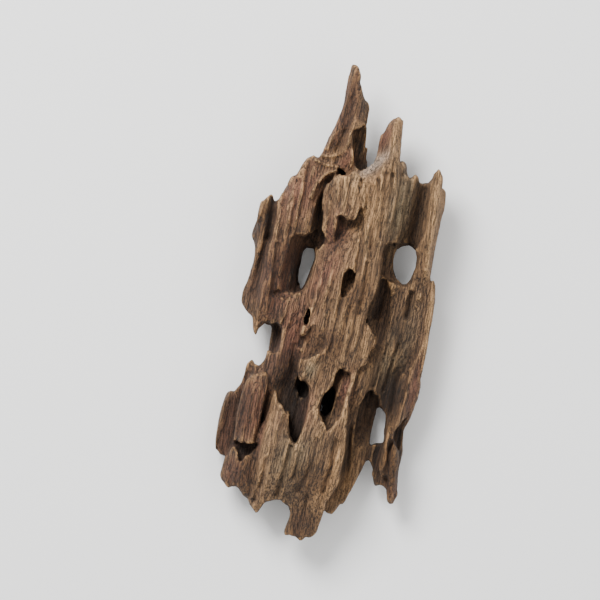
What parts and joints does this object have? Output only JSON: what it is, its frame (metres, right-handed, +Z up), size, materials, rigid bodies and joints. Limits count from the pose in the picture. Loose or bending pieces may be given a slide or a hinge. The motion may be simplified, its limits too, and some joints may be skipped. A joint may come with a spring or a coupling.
{
  "type": "dragon wood",
  "caption": "Flat piece of weathered, bored-out brown hardwood with fluted grain, ragged ends and two tall spikes, for an aquarium or terrarium.",
  "frame": {"origin": "on the surface it lies on, under the middle of the piece", "axes": "+Y along the grain towards the two spikes, +X to the right seen from above, +Z up, out of the fluted front"},
  "size_m": [0.0728, 0.15, 0.028],
  "materials": {
    "weathered_wood": "matte, weathered along the grain"
  },
  "bodies": {
    "root": {"dragon_wood": "weathered_wood"}
  },
  "joints": []
}
